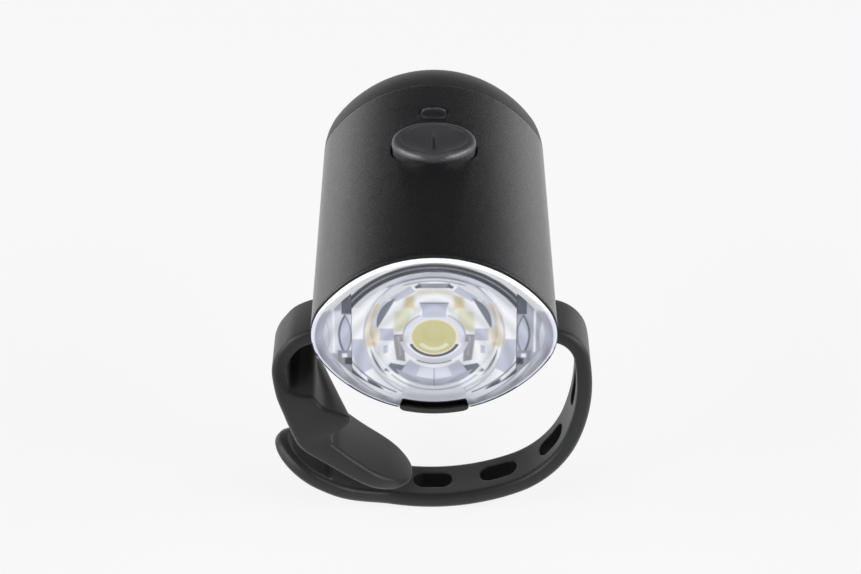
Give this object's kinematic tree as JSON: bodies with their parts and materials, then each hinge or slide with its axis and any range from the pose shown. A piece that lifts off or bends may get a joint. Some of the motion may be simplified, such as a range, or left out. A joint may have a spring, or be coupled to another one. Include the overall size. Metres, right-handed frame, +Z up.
{
  "type": "bike headlight",
  "caption": "Compact eye-section bike headlight with a clear faceted lens, a dished top button and a swivelling slotted rubber strap that hooks round a handlebar.",
  "frame": {"origin": "centre of the handlebar held under the rubber saddle, on the swivel axis", "axes": "+Y along the bar and away from the beam at rest, +Z up through the swivel to the head, +X to the right as seen from in front"},
  "size_m": [0.048, 0.0725, 0.0574],
  "materials": {
    "anodised_black": "fine sand-blasted black anodising",
    "cap_black": "satin black",
    "clear": "clear polished",
    "seal_rubber": "matte black",
    "white_plastic": "white satin",
    "board_metal": "machined",
    "phosphor": "yellow coating",
    "steel": "plain",
    "dark_plastic": "dark matte",
    "cell_wrap": "foil wrap",
    "wire": "insulation",
    "circuit_board": "solder mask",
    "button_black": "semi-gloss black",
    "plunger": "plain",
    "brass": "plain",
    "strap_rubber": "satin black silicone"
  },
  "bodies": {
    "mount": {"strap": "strap_rubber", "swivel_plate": "dark_plastic", "friction_washer": "brass"},
    "head": {"housing": "anodised_black", "front_lens": "clear", "lens_gasket": "seal_rubber", "collimator": "clear", "optic_holder": "white_plastic", "led_board": "board_metal", "led_package": "white_plastic", "led_phosphor": "phosphor", "led_board_screws": "steel", "heat_sink": "board_metal", "chassis": "dark_plastic", "chassis_screws": "steel", "battery": "cell_wrap", "battery_leads": "wire", "main_board": "circuit_board", "board_components": "dark_plastic", "tact_switch": "dark_plastic", "switch_carrier": "dark_plastic", "button_seal": "seal_rubber", "indicator_led": "phosphor", "indicator_light_pipe": "clear", "usb_socket": "steel", "rear_cap": "cap_black", "rear_seal": "seal_rubber", "rear_cap_screws": "steel", "led_leads": "wire", "swivel_base": "dark_plastic", "pivot_screw": "steel", "pivot_nut": "steel"},
    "button": {"button_cap": "button_black", "switch_plunger": "plunger"},
    "port_cover": {"port_cover": "seal_rubber"},
    "strap_tail": {"strap_tail": "strap_rubber"}
  },
  "joints": [
    {"name": "head_swivel", "type": "hinge", "parent": "mount", "child": "head", "pos_m": [0, 0, 0.0148], "axis": [0, 0, 1], "range_deg": [-90, 90]},
    {"name": "button_press", "type": "slide", "parent": "head", "child": "button", "axis": [0, 0, -1], "range_m": [0, 0.0004], "stiffness_N_per_m": 2000},
    {"name": "port_cover_hinge", "type": "hinge", "parent": "head", "child": "port_cover", "pos_m": [0, 0.0404, 0.0317], "axis": [1, 0, 0], "range_deg": [0, 110], "stiffness_Nm_per_rad": 0.002},
    {"name": "strap_peel", "type": "hinge", "parent": "mount", "child": "strap_tail", "pos_m": [0.00449, 0, -0.01509], "axis": [0, -1, 0], "range_deg": [0, 75], "stiffness_Nm_per_rad": 0.02}
  ]
}
